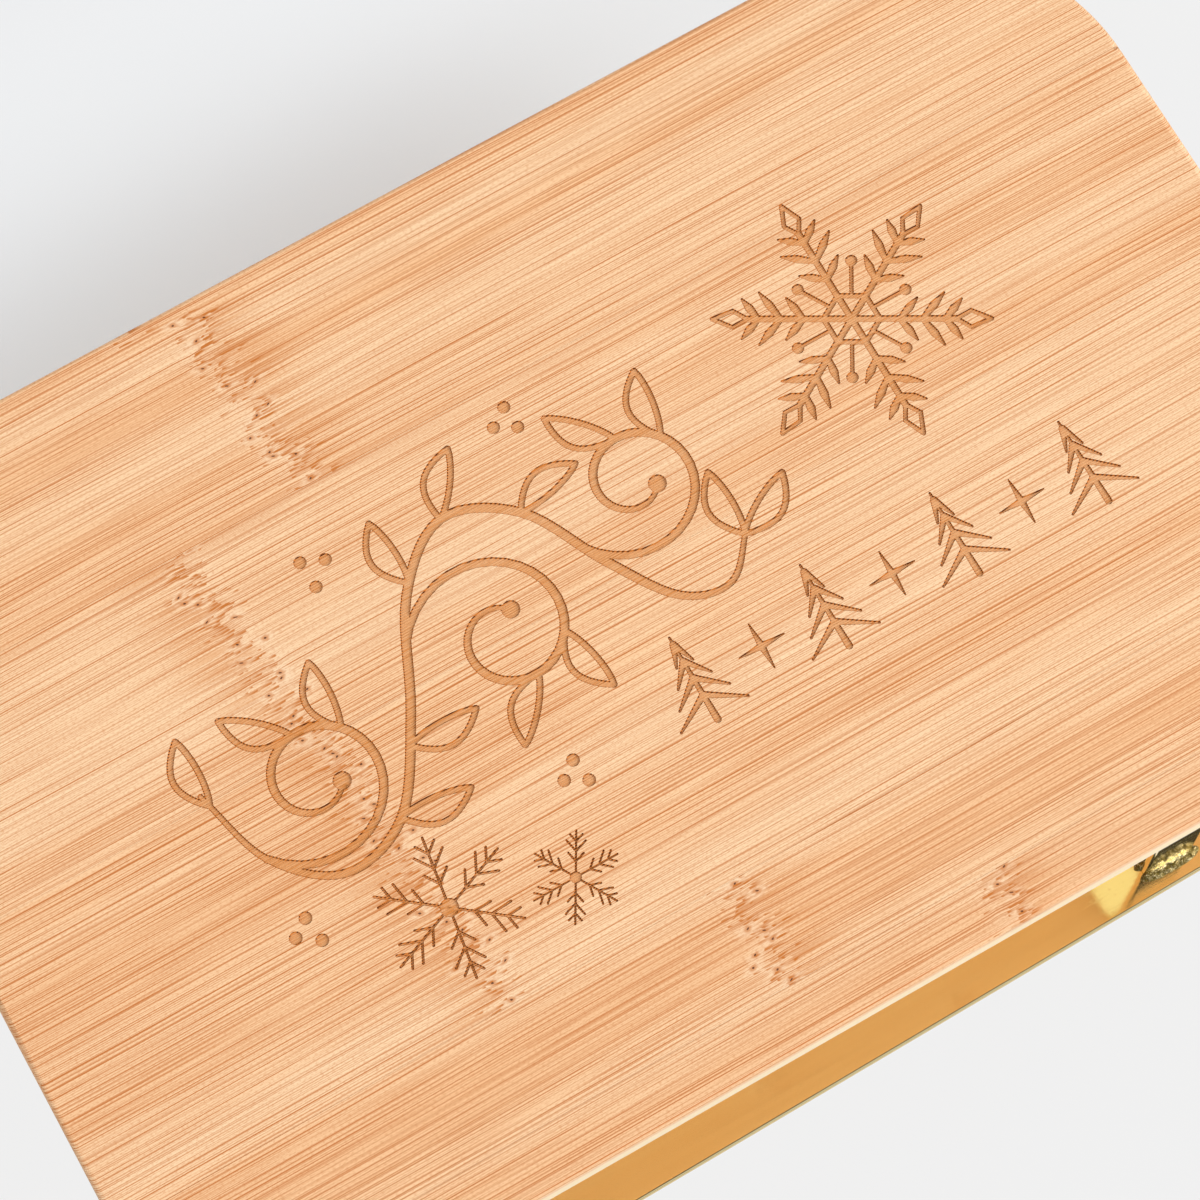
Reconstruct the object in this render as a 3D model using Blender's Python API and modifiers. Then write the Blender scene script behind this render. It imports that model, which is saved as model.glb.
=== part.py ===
# Sleigh-shaped serving board: bamboo staves on two strip-metal runners, in metres, +Z up.
# The board's long side runs along X and its rounded front end faces +X.
import math

import bmesh
import bpy
from mathutils import Vector

# Board
board_length = 0.3048
board_width = 0.2032
board_thickness = 0.010
front_corner_radius = 0.0508
rear_corner_radius = 0.006
board_edge_round = 0.001
stave_width_shares = (0.060, 0.120, 0.330, 0.245, 0.245)

# Metal strip, bent into the cross straps and the runners
strip_width = 0.0125
strap_thickness = 0.002
runner_thickness = 0.002
strap_bend_radius = 0.004
strap_inset = 0.0695
deck_clearance = 0.0655

# Runners
runner_edge_inset = 0.00065
runner_toe_in = math.radians(0.73)
runner_rear_inset = 0.006
leg_set_in = 0.005
curl_radius = 0.032
curl_setback = 0.012
scroll_radius = 0.012
curl_turn = math.radians(180)
scroll_turn = math.radians(130)

# Screws and welds
screw_side_inset = 0.0266
shank_radius = 0.00175
screw_head_radius = 0.0038
screw_head_height = 0.0022
screw_dome_share = 0.45
screw_reach = 0.0075
screw_point = 0.0022
strap_hole_clearance = 0.0004
weld_leg = 0.0014
weld_sag_share = 0.30

# Fits and overruns
seat_gap = 0.0003
cut_overrun = 0.002
corner_steps = 12
bend_steps = 6
curl_steps = 28
scroll_steps = 14
turn_steps = 20
weld_steps = 4
merge_distance = 0.00001

# Worked out from the sizes above
half_width = board_width / 2
screw_side_y = half_width - screw_side_inset
overall_length = board_length - curl_setback + curl_radius
board_rear_x = -overall_length / 2
board_front_x = board_rear_x + board_length
board_bottom_z = runner_thickness + deck_clearance
board_top_z = board_bottom_z + board_thickness
strap_top_z = board_bottom_z - seat_gap
strap_under_z = strap_top_z - strap_thickness
leg_foot_z = runner_thickness + seat_gap
strap_places = {
    "front": board_front_x - strap_inset,
    "rear": board_rear_x + strap_inset,
}
runner_sides = {"left": -1, "right": 1}
runner_pivot_x = strap_places["front"]


def clear_scene():
    for leftover in list(bpy.data.objects):
        bpy.data.objects.remove(leftover, do_unlink=True)


def make_collection(name):
    group = bpy.data.collections.new(name)
    bpy.context.scene.collection.children.link(group)
    return group


def make_material(name, colour, roughness, metallic):
    material = bpy.data.materials.new(name)
    material.use_nodes = True
    shader = material.node_tree.nodes["Principled BSDF"]
    shader.inputs["Base Color"].default_value = (*colour, 1)
    shader.inputs["Roughness"].default_value = roughness
    shader.inputs["Metallic"].default_value = metallic
    return material


def bamboo_material():
    return make_material("bamboo", (0.90, 0.63, 0.38), 0.5, 0)


def gold_plate_material():
    return make_material("gold_plate", (0.83, 0.58, 0.20), 0.15, 1)


def weld_material():
    return make_material("plated_weld", (0.70, 0.52, 0.22), 0.4, 1)


def screw_material():
    return make_material("zinc_plate", (0.72, 0.70, 0.64), 0.3, 1)


def add_object(name, mesh, group, material=None):
    piece = bpy.data.objects.new(name, mesh)
    group.objects.link(piece)
    if material:
        mesh.materials.clear()
        mesh.materials.append(material)
    return piece


def add_cutter(name, mesh, group):
    cutter = add_object(name, mesh, group)
    cutter.hide_render = True
    cutter.display_type = "WIRE"
    return cutter


def boolean(piece, cutter, operation):
    step = piece.modifiers.new(cutter.name, "BOOLEAN")
    step.operation = operation
    step.solver = "EXACT"
    step.object = cutter


def arc_points(centre, radius, start, turn, steps):
    points = []
    for step in range(steps + 1):
        angle = start + turn * step / steps
        points.append((centre[0] + radius * math.cos(angle), centre[1] + radius * math.sin(angle)))
    return points


def box_mesh(name, low, high):
    low = Vector(low)
    size = Vector(high) - low
    block = bmesh.new()
    bmesh.ops.create_cube(block, size=1)
    bmesh.ops.scale(block, vec=size, verts=block.verts)
    bmesh.ops.translate(block, vec=low + size / 2, verts=block.verts)
    mesh = bpy.data.meshes.new(name)
    block.to_mesh(mesh)
    block.free()
    return mesh


def outline_mesh(name, points, thickness):
    # A flat closed outline, filled and extruded evenly about its own plane
    curve = bpy.data.curves.new(name, "CURVE")
    curve.dimensions = "2D"
    curve.fill_mode = "BOTH"
    curve.extrude = thickness / 2
    line = curve.splines.new("POLY")
    line.points.add(len(points) - 1)
    for point, (x, y) in zip(line.points, points):
        point.co = (x, y, 0, 1)
    line.use_cyclic_u = True
    outline = bpy.data.objects.new(name, curve)
    bpy.context.scene.collection.objects.link(outline)
    evaluated = outline.evaluated_get(bpy.context.evaluated_depsgraph_get())
    mesh = bpy.data.meshes.new_from_object(evaluated)
    bpy.data.objects.remove(outline, do_unlink=True)
    bpy.data.curves.remove(curve)
    welded = bmesh.new()
    welded.from_mesh(mesh)
    bmesh.ops.remove_doubles(welded, verts=welded.verts, dist=merge_distance)
    welded.to_mesh(mesh)
    welded.free()
    return mesh


def board_outline():
    # Broad round corners at the front end, nearly square ones at the rear
    front = board_front_x - front_corner_radius
    rear = board_rear_x + rear_corner_radius
    quarter = math.radians(90)
    points = []
    points += arc_points((front, -half_width + front_corner_radius), front_corner_radius,
                         -quarter, quarter, corner_steps)
    points += arc_points((front, half_width - front_corner_radius), front_corner_radius,
                         0, quarter, corner_steps)
    points += arc_points((rear, half_width - rear_corner_radius), rear_corner_radius,
                         quarter, quarter, corner_steps // 3)
    points += arc_points((rear, -half_width + rear_corner_radius), rear_corner_radius,
                         2 * quarter, quarter, corner_steps // 3)
    return points


def stave_edges():
    # The long glue lines across the board, from its left side to its right side
    edges = [-half_width]
    for share in stave_width_shares:
        edges.append(edges[-1] + share * board_width)
    return edges


def screw_places():
    return [(x, side * screw_side_y) for x in strap_places.values() for side in runner_sides.values()]


def drill_mesh(name, radius, low, high):
    # One cutter that holds the holes of all the screws
    drill = bmesh.new()
    for x, y in screw_places():
        made = bmesh.ops.create_cone(drill, cap_ends=True, segments=turn_steps,
                                     radius1=radius, radius2=radius, depth=high - low)
        bmesh.ops.translate(drill, vec=(x, y, (low + high) / 2), verts=made["verts"])
    mesh = bpy.data.meshes.new(name)
    drill.to_mesh(mesh)
    drill.free()
    return mesh


def build_board(parts, cutters, pilot_holes):
    blank = outline_mesh("board_blank", board_outline(), board_thickness)
    material = bamboo_material()
    edges = stave_edges()
    for index in range(len(stave_width_shares)):
        stave = add_object(f"bamboo_stave_{index + 1}", blank.copy(), parts, material)
        stave.location.z = board_bottom_z + board_thickness / 2
        rounding = stave.modifiers.new("eased_edges", "BEVEL")
        rounding.width = board_edge_round
        rounding.segments = 2
        rounding.limit_method = "ANGLE"
        rounding.angle_limit = math.radians(60)
        near = edges[index] + seat_gap / 2
        far = edges[index + 1] - seat_gap / 2
        if index == 0:
            near -= cut_overrun
        if index == len(stave_width_shares) - 1:
            far += cut_overrun
        slot = box_mesh(f"stave_slot_{index + 1}",
                        (board_rear_x - cut_overrun, near, board_bottom_z - cut_overrun),
                        (board_front_x + cut_overrun, far, board_top_z + cut_overrun))
        boolean(stave, add_cutter(f"stave_slot_{index + 1}", slot, cutters), "INTERSECT")
        if any(near < y < far for x, y in screw_places()):
            boolean(stave, pilot_holes, "DIFFERENCE")


def ribbon(name, path, width_axis, low, high):
    # An open strip of surface: the path (two coordinates a point) drawn along one axis
    strip = bmesh.new()
    line = []
    for first, second in path:
        place = (low, first, second) if width_axis == "X" else (first, low, second)
        line.append(strip.verts.new(place))
    edges = [strip.edges.new(pair) for pair in zip(line, line[1:])]
    drawn = bmesh.ops.extrude_edge_only(strip, edges=edges)
    far_side = [item for item in drawn["geom"] if isinstance(item, bmesh.types.BMVert)]
    travel = Vector((high - low, 0, 0)) if width_axis == "X" else Vector((0, high - low, 0))
    bmesh.ops.translate(strip, vec=travel, verts=far_side)
    bmesh.ops.recalc_face_normals(strip, faces=strip.faces)
    mesh = bpy.data.meshes.new(name)
    strip.to_mesh(mesh)
    strip.free()
    return mesh


def thicken(piece, thickness, offset):
    wall = piece.modifiers.new("strip_thickness", "SOLIDIFY")
    wall.thickness = thickness
    wall.offset = offset
    wall.use_even_offset = True


def runner_edge_y(x):
    # How far the runner's outer edge is from the middle plane where the strap at x meets it
    return half_width - runner_edge_inset - (x - runner_pivot_x) * math.tan(runner_toe_in)


def leg_outer_y(x):
    return runner_edge_y(x) - leg_set_in


def strap_path(x):
    # Outer face of the U: up one leg, across under the board and down the other leg
    outer = leg_outer_y(x)
    bend = strap_bend_radius + strap_thickness
    quarter = math.radians(90)
    path = [(-outer, leg_foot_z)]
    path += arc_points((-outer + bend, strap_top_z - bend), bend, 2 * quarter, -quarter, bend_steps)
    path += arc_points((outer - bend, strap_top_z - bend), bend, quarter, -quarter, bend_steps)
    path.append((outer, leg_foot_z))
    return path


def build_straps(parts, strap_holes):
    material = gold_plate_material()
    for place, x in strap_places.items():
        mesh = ribbon(f"{place}_cross_strap", strap_path(x), "X",
                      x - strip_width / 2, x + strip_width / 2)
        strap = add_object(f"{place}_cross_strap", mesh, parts, material)
        thicken(strap, strap_thickness, inward(mesh, (x, 0, board_bottom_z)))
        boolean(strap, strap_holes, "DIFFERENCE")


def inward(mesh, outside):
    # Solidify offset that thickens a ribbon away from a point on its outer side
    outside = Vector(outside)
    nearest = min(mesh.polygons, key=lambda face: (face.center - outside).length)
    faces_out = (outside - nearest.center).dot(nearest.normal) > 0
    return -1 if faces_out else 1


def runner_path():
    # Sole of the runner, measured from the front strap: flat, then the curl and its scroll,
    # which start a little behind the board's front end
    tail = board_rear_x + runner_rear_inset - runner_pivot_x
    start = board_front_x - curl_setback - runner_pivot_x
    quarter = math.radians(90)
    path = [(tail, 0)]
    path += arc_points((start, curl_radius), curl_radius, -quarter, curl_turn, curl_steps)
    path += arc_points((start, 2 * curl_radius - scroll_radius), scroll_radius,
                       quarter, scroll_turn, scroll_steps)[1:]
    return path


def build_runners(parts):
    material = gold_plate_material()
    for name, side in runner_sides.items():
        outer = side * (half_width - runner_edge_inset)
        low, high = sorted((0, -side * strip_width))
        mesh = ribbon(f"{name}_runner", runner_path(), "Y", low, high)
        runner = add_object(f"{name}_runner", mesh, parts, material)
        runner.location = (runner_pivot_x, outer, 0)
        runner.rotation_euler.z = -side * runner_toe_in
        thicken(runner, runner_thickness, inward(mesh, (0, 0, -board_thickness)))


def weld_section():
    # Corner fillet between a leg and the runner, a little hollow along its face
    toe = Vector((seat_gap + weld_leg, seat_gap))
    top = Vector((seat_gap, seat_gap + weld_leg))
    root = Vector((seat_gap, seat_gap))
    points = [root]
    for step in range(weld_steps + 1):
        share = step / weld_steps
        face = toe.lerp(top, share)
        sag = weld_sag_share * weld_leg * math.sin(math.pi * share) / 2
        points.append(face + (root - face).normalized() * sag)
    return points


def weld_mesh(name, x, side, face_y, away):
    # One fillet along the strip's width, against the leg's face at face_y
    bead = bmesh.new()
    start = x - strip_width / 2
    corners = []
    for across, up in weld_section():
        corners.append(bead.verts.new((start, side * (face_y + away * across), runner_thickness + up)))
    cap = bead.faces.new(corners)
    drawn = bmesh.ops.extrude_face_region(bead, geom=[cap], use_keep_orig=True)
    moved = [item for item in drawn["geom"] if isinstance(item, bmesh.types.BMVert)]
    bmesh.ops.translate(bead, vec=(strip_width, 0, 0), verts=moved)
    bmesh.ops.recalc_face_normals(bead, faces=bead.faces)
    mesh = bpy.data.meshes.new(name)
    bead.to_mesh(mesh)
    bead.free()
    return mesh


def build_welds(parts):
    # A fillet outside and inside each leg's foot
    material = weld_material()
    for place, x in strap_places.items():
        for hand, side in runner_sides.items():
            outer = leg_outer_y(x)
            faces = {"outer": (outer, 1), "inner": (outer - strap_thickness, -1)}
            for position, (face_y, away) in faces.items():
                name = f"{place}_{hand}_{position}_weld"
                add_object(name, weld_mesh(name, x, side, face_y, away), parts, material)


def screw_profile():
    # Half section of a pan-head screw from its point down to its head, point upwards
    seat = strap_under_z - seat_gap
    tip = board_bottom_z + screw_reach
    dome = screw_head_height * screw_dome_share
    head_side = seat - (screw_head_height - dome)
    profile = [(0, tip), (shank_radius, tip - screw_point), (shank_radius, seat),
               (screw_head_radius, seat), (screw_head_radius, head_side)]
    for step in range(1, bend_steps):
        angle = math.radians(90) * step / bend_steps
        profile.append((screw_head_radius * math.cos(angle), head_side - dome * math.sin(angle)))
    profile.append((0, seat - screw_head_height))
    return profile


def screw_mesh():
    turned = bmesh.new()
    line = [turned.verts.new((radius, 0, z)) for radius, z in screw_profile()]
    edges = [turned.edges.new(pair) for pair in zip(line, line[1:])]
    bmesh.ops.spin(turned, geom=line + edges, cent=(0, 0, 0), axis=(0, 0, 1),
                   angle=math.radians(360), steps=turn_steps, use_merge=True)
    bmesh.ops.remove_doubles(turned, verts=turned.verts, dist=merge_distance)
    bmesh.ops.recalc_face_normals(turned, faces=turned.faces)
    mesh = bpy.data.meshes.new("strap_screw")
    turned.to_mesh(mesh)
    turned.free()
    mesh.shade_smooth()
    mesh.set_sharp_from_angle(angle=math.radians(35))
    return mesh


def build_screws(parts):
    mesh = screw_mesh()
    material = screw_material()
    for place, x in strap_places.items():
        for hand, side in runner_sides.items():
            screw = add_object(f"{place}_{hand}_screw", mesh, parts, material)
            screw.location = (x, side * screw_side_y, 0)


def main():
    clear_scene()
    parts = make_collection("serving_board")
    cutters = make_collection("cutters")
    pilot = drill_mesh("pilot_holes", shank_radius + seat_gap, board_bottom_z - cut_overrun,
                       board_bottom_z + screw_reach + seat_gap)
    pilot_holes = add_cutter("pilot_holes", pilot, cutters)
    holes = drill_mesh("strap_holes", shank_radius + strap_hole_clearance,
                       strap_under_z - cut_overrun, strap_top_z + cut_overrun)
    strap_holes = add_cutter("strap_holes", holes, cutters)
    build_board(parts, cutters, pilot_holes)
    build_straps(parts, strap_holes)
    build_runners(parts)
    build_welds(parts)
    build_screws(parts)


main()
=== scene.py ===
import math

import bmesh
import bpy
from mathutils import Matrix, Vector, noise


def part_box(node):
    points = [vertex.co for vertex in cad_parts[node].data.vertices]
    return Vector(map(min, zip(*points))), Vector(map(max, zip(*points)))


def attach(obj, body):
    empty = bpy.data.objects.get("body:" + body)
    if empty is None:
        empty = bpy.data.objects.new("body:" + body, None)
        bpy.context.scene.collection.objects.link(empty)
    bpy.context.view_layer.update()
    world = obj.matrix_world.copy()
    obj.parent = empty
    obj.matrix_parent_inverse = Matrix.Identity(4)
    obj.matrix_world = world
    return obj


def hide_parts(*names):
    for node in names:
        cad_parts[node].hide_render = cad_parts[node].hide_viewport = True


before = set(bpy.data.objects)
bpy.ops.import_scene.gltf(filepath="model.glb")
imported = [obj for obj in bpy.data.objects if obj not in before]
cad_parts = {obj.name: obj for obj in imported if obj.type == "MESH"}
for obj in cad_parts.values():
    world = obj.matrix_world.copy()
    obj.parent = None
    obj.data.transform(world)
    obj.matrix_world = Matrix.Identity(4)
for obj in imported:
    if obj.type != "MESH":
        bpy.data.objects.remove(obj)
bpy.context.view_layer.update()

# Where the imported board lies, read from its staves
staveNames = [name for name in sorted(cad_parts) if name.startswith("bamboo_stave_")]
staveBoxes = [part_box(name) for name in staveNames]
rearX = min(low.x for low, high in staveBoxes)
frontX = max(high.x for low, high in staveBoxes)
leftY = min(low.y for low, high in staveBoxes)
rightY = max(high.y for low, high in staveBoxes)
underZ = min(low.z for low, high in staveBoxes)
topZ = max(high.z for low, high in staveBoxes)
width = rightY - leftY
glueLines = [(near[1].y + far[0].y) / 2 for near, far in zip(staveBoxes, staveBoxes[1:])]
nearby = 0.0001  # metres, places closer than this count as one
print("frame read, the board is", round((frontX - rearX) * 1000), "by", round(width * 1000), "mm")


def onBoard(along, across):
    # a place on the top, in board widths from the rear end and from the left long side
    return Vector((rearX + along * width, leftY + across * width, topZ))


def heading(degrees):
    angle = math.radians(degrees)
    return Vector((math.cos(angle), math.sin(angle), 0))


def tone(red, green, blue):
    # a colour given as it looks on screen, 0 to 255, made linear
    linear = [share / 12.92 if share <= 0.04045 else ((share + 0.055) / 1.055) ** 2.4
              for share in (red / 255, green / 255, blue / 255)]
    return (*linear, 1)


# Shader maths

class Flow:
    # one socket of a material, on which sums and comparisons add nodes

    def __init__(self, tree, socket):
        self.tree = tree
        self.socket = socket

    def node(self, kind, settings, sockets, output=0):
        made = self.tree.nodes.new(kind)
        for name, value in settings.items():
            setattr(made, name, value)
        for key, value in sockets.items():
            if isinstance(value, Flow):
                self.tree.links.new(value.socket, made.inputs[key])
            else:
                made.inputs[key].default_value = value
        return Flow(self.tree, made.outputs[output])

    def maths(self, operation, *values):
        return self.node("ShaderNodeMath", {"operation": operation}, dict(enumerate(values)))

    def __rsub__(self, other):
        return self.maths("SUBTRACT", other, self)

    def ease(self, low, high):
        # 0 below low, 1 above high, smooth between; turned round where low is the larger
        return self.node("ShaderNodeMapRange", {"interpolation_type": "SMOOTHSTEP"},
                         {0: self, 1: low, 2: high, 3: 0, 4: 1})

    def spread(self, low, high):
        # a value from 0 to 1 made to run from low to high
        return self * (high - low) + low

    def layered(self, look, *layers):
        # this colour with others laid over it in turn, each by its name in the look and a share
        colour = self
        for name, share in layers:
            colour = self.node("ShaderNodeMix", {"data_type": "RGBA"},
                               {0: share, 6: colour, 7: look[name]}, 2)
        return colour

    def between(self, first, second):
        # from the first colour to the second as this value goes from 0 to 1
        return self.node("ShaderNodeMix", {"data_type": "RGBA"}, {0: self, 6: first, 7: second}, 2)

    def times(self, scales):
        return self.node("ShaderNodeVectorMath", {"operation": "MULTIPLY"}, {0: self, 1: scales})

    def axis(self, index):
        return self.node("ShaderNodeSeparateXYZ", {}, {0: self}, index)

    def noise(self, detail=2, roughness=0.5):
        return self.node("ShaderNodeTexNoise", {}, {"Vector": self, "Scale": 1, "Detail": detail,
                                                    "Roughness": roughness})

    def flatNoise(self, along, across, detail=1):
        # noise over two values, quicker than over a place in space
        where = self.node("ShaderNodeCombineXYZ", {}, {0: along, 1: across})
        return self.node("ShaderNodeTexNoise", {"noise_dimensions": "2D"},
                         {"Vector": where, "Scale": 1, "Detail": detail})

    def chance(self):
        # three random values that stay the same for the same input
        return self.node("ShaderNodeTexWhiteNoise", {"noise_dimensions": "1D"}, {"W": self}, 1)


# Each operator of a Flow adds the maths node of its kind
for method, operation in (("add", "ADD"), ("sub", "SUBTRACT"), ("mul", "MULTIPLY"),
                          ("truediv", "DIVIDE"), ("gt", "GREATER_THAN"), ("lt", "LESS_THAN"),
                          ("abs", "ABSOLUTE"), ("floor", "FLOOR")):
    setattr(Flow, "__" + method + "__",
            lambda flow, *others, operation=operation: flow.maths(operation, flow, *others))


def newMaterial(name):
    # an empty material, and the object coordinates to build on
    material = bpy.data.materials.new(name)
    material.use_nodes = True
    tree = material.node_tree
    return material, Flow(tree, tree.nodes.new("ShaderNodeTexCoord").outputs["Object"])


def connect(flow, socket):
    flow.tree.links.new(flow.socket, socket)


def dress(material, fixed, colour, roughness, relief, depth):
    # gives the shader its plain values, colour, roughness and relief
    shader = material.node_tree.nodes["Principled BSDF"]
    for name, value in fixed.items():
        shader.inputs[name].default_value = value
    connect(colour, shader.inputs["Base Color"])
    connect(roughness, shader.inputs["Roughness"])
    bump = relief.node("ShaderNodeBump", {}, {"Strength": 1, "Distance": depth, "Height": relief})
    connect(bump, shader.inputs["Normal"])
    return material


# Bamboo: fibres that run the length of the board, with one knot line in each stave

bamboo = {
    "pale": tone(255, 220, 178),
    "warm": tone(252, 207, 160),
    "fibre": tone(201, 118, 54),
    "orangeTint": tone(226, 158, 100),
    "knotPale": tone(255, 228, 194),
    "knotStroke": tone(202, 117, 44),
    "knotDot": tone(88, 46, 24),
    "paleSideAndPaintedLight": tone(252, 231, 190),
    "paintedUndersideLight": tone(255, 206, 150),
    "endGrain": tone(214, 158, 108),
    "engravedFloor": tone(226, 150, 82),
    "scorch": tone(104, 50, 10),
    "scorchPale": tone(206, 122, 50),
    "gloss": 0.32,
    "burntGloss": 0.1,
    "roughness": 0.56,
    "floorRoughness": 0.58,
    "wallRoughness": 0.55,
    "bumpDepth": 0.00004,
    "burntBumpDepth": 0.0001,
    # how much each layer hides what lies below it
    "cover": {"orange": 0.55, "silk": 0.60, "bands": 0.20, "smudge": 0.60, "ring": 0.22,
              "knot": 0.15, "speckle": 0.32, "halo": 0.65, "dots": 0.92, "side": 0.85,
              "paintedUndersideLight": 0.60, "endGrain": 0.5, "bundles": 0.7, "engraving": 0.62,
              "burnt": 0.10, "ash": 0.10},
    # where each pattern fades in, from none of it to all
    "fade": {"warm": (0.30, 0.72), "orangeBands": (0.52, 0.78), "fibreBands": (0.30, 0.62),
             "lines": (0.31, 0.51), "silk": (0.40, 0.58), "speckle": (0.46, 0.74),
             "ends": (0.55, 0.9), "side": (0.35, 0.95), "paintedUndersideLight": (0.6, 0.95),
             "bundles": (0.42, 0.18), "raster": (-0.4, 0.6), "ash": (0.5, 0.8),
             "scorch": (0.20, 0.75)},
    # how fine each pattern is: along and across the fibres, or along, across and up
    "bands": (2.2, 62),
    "silk": (26, 2300),
    "silkFloor": 0.36,  # silk that leaves the colour as it is
    "speckle": (1300, 4000),
    "bundles": (0, 1500, 1100),
    "floorAsh": (700, 1700, 1500),
    "wallAsh": (900, 900, 0),
    "extraLineShare": 0.985,  # a sixth strip shows in the wood at the right long side
    "knotAlong": (0.92, 0.69, 0.46, 0.485, 0.62, 0.43),  # knot lines, in board widths
    "knotSlant": (0.0, 0.0, -0.09, -0.15, -0.125, 0.0),  # how they lean across the board
    "knotTail": (1, 1, -1, -1, 1, 1),  # which way the knot's dashes fade
    "knotRagged": (190, 0.009),  # jags a metre across the board, and how far they reach
    "knotZone": (0.0070, 0.0015),  # from plain wood to the knot, metres from its line
    "orange": (0.40, 0.22, 0.10, 0.12, 0.15, 0.45),  # how much warmer each stave is
    "staveShift": 1.37,  # tells the pattern of one stave from the next
    "sideShift": 0.9,  # draws the pattern down the sides
    "wander": (8, 22, 0.0016),  # slow bends of the fibres: a metre along, across, reach
    "swerve": (120, 260, 0.0009),  # the same close to a knot
    # fibre lines: how many a metre, half width in metres, strength, breaks a metre
    "lines": ((540, 0.00017, 1.0, 13), (1100, 0.00013, 0.85, 22), (2300, 0.00010, 0.70, 31)),
    "lineShift": 7.7,  # tells the breaks of one line from the next
    "linePlace": (0.25, 0.75),  # shares of its strip
    "lineStrength": (0.4, 1),
    "bandStrength": (0.65, 1),
    # dashes at the knots: how many a metre, reach and scatter in metres, strength, share shown
    "dashes": ((1500, 0.022, 0.010, 0.46, 0.42), (1450, 0.0040, 0.0060, 0.90, 0.72),
               (1900, 0.0028, 0.0120, 0.85, 0.60)),
    "dashStart": (-0.0001, 0.0002),
    "dashSide": (0.42, 0.20),
    "shortestDash": 0.0008,
    "smudgeStart": (-0.003, 0.001),
    "smudgeEnd": (0.020, 0.002),
    "dotsPerMetre": 520,
    "dotScatter": 0.0092,
    "dotPlace": (0.2, 0.8),
    "dotLength": 0.6,  # the dots' breadth over their length, squared
    "dotShare": 0.70,  # of the strips that hold a dot
    "dotEdges": (0.00027, 0.00014),  # from outside to inside: the dot, its halo, the pale ring
    "haloEdges": (0.00100, 0.00030),
    "ringEdges": (0.0026, 0.0009),
    "seeds": (31.7, 53.3, 71.9),  # tell the luck of lines, dashes and dots apart
    "sideCreamAndLightDepth": (0.0002, 0.0042),  # below the top, where the sides turn cream: paler side wood and painted light
    "rasterPitch": 0.00052,  # the engraving's burnt lines, along the fibres
}


def perStave(flow, values, lines):
    # a value that changes at each glue line
    total = values[0]
    for line, before, after in zip(lines, values, values[1:]):
        if before != after:
            total = (flow > line) * (after - before) + total
    return total


def fibreNoise(x, across, fineness, detail):
    return x.flatNoise(x * fineness[0], across * fineness[1], detail)


def bend(x, across, values):
    # how far the fibres lean to one side at each point
    return (fibreNoise(x, across, values, 1) - 0.5) * values[2]


def strips(across, perMetre, seed):
    # even strips: how far through its strip a point is, the strip's number and its luck
    rank = across * perMetre
    number = math.floor(rank)
    return rank - number, number, (number + seed).chance()


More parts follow.
